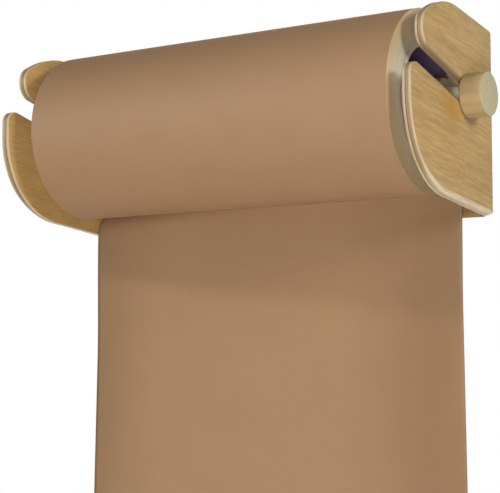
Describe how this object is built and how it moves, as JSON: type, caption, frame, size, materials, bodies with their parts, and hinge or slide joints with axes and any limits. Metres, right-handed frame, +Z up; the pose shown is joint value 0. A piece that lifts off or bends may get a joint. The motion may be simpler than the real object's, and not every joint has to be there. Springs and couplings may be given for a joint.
{
  "type": "wall-mounted paper roll holder",
  "caption": "Plywood wall holder for a paper roll: slotted side panels on a back rail seat a turned rod with knobs; a kraft roll hangs on the rod, its sheet drawn down at the back.",
  "frame": {"origin": "on the wall, at the back face of the back rail, midway between its two wall screws", "axes": "+X along the rod to the right as seen from the room, +Y into the wall, +Z up"},
  "size_m": [0.3798, 0.129, 0.3652],
  "materials": {
    "plywood": "satin",
    "rail_wood": "satin",
    "dowel_wood": "matte",
    "turned_wood": "satin",
    "kraft_paper": "matte",
    "core_board": "matte"
  },
  "bodies": {
    "frame": {"left_side_panel": "plywood", "right_side_panel": "plywood", "back_rail": "rail_wood", "left_rail_dowels": "dowel_wood", "right_rail_dowels": "dowel_wood"},
    "sheet": {"paper_sheet": "kraft_paper"},
    "rod": {"roller_rod": "turned_wood", "left_neck_spindle": "turned_wood", "right_neck_spindle": "turned_wood", "left_knob": "turned_wood", "right_knob": "turned_wood"},
    "roll": {"paper_roll": "kraft_paper", "cardboard_core": "core_board"}
  },
  "joints": [
    {"name": "rod_lift", "type": "slide", "parent": "frame", "child": "sheet", "axis": [0, -0.9724, 0.2334], "range_m": [0, 0.1]},
    {"name": "rod_spin", "type": "hinge", "parent": "sheet", "child": "rod", "pos_m": [0, -0.04239, 0.063], "axis": [1, 0, 0], "continuous": true},
    {"name": "roll_spin", "type": "hinge", "parent": "sheet", "child": "roll", "pos_m": [0, -0.065, 0.05736], "axis": [1, 0, 0], "continuous": true}
  ]
}
